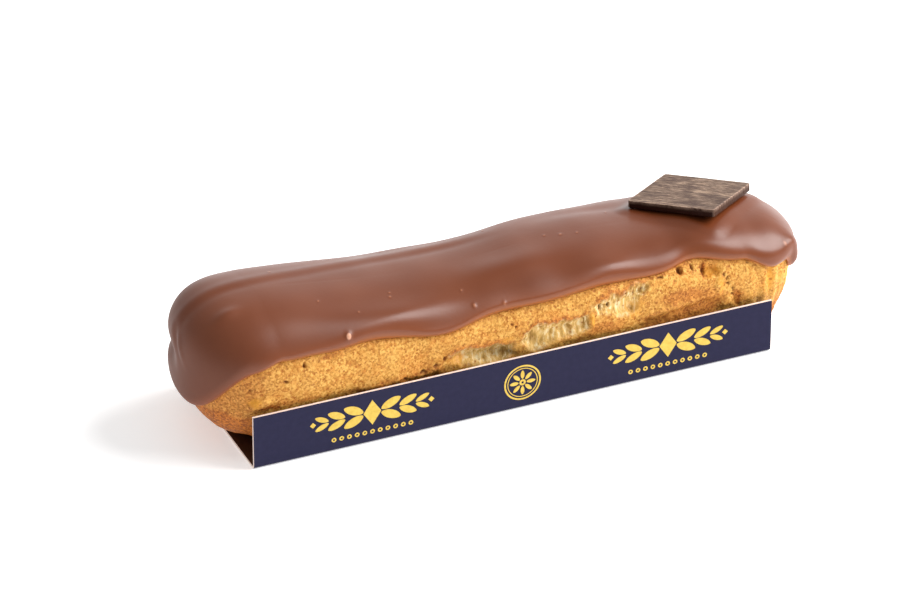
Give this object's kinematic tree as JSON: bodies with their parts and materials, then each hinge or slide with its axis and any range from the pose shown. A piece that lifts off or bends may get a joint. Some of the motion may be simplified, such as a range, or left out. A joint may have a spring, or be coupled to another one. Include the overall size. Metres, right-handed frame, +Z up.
{
  "type": "glazed eclair",
  "caption": "Filled choux eclair with a chocolate glaze and a dark chocolate square, resting in a low folded card holder.",
  "frame": {"origin": "centre of the card holder's underside, where the part stands", "axes": "+Z up, +X along the eclair to its right end, +Y to its back; the decorated wall faces -Y"},
  "size_m": [0.1529, 0.04, 0.0356],
  "materials": {
    "holder_card": "coated folding card, navy outside with thin gold ornaments, dark brown inside, cream cut edges",
    "baked_choux": "matt baked crust with open crumb where it burst",
    "milk_glaze": "smooth satin milk chocolate glaze",
    "dark_chocolate": "moulded dark chocolate with fine scuffs",
    "gold_print": "thin gold ornaments on the card"
  },
  "bodies": {
    "root": {"card_holder": "holder_card", "choux_shell": "baked_choux", "glaze": "milk_glaze", "chocolate_plaque": "dark_chocolate"}
  },
  "joints": []
}
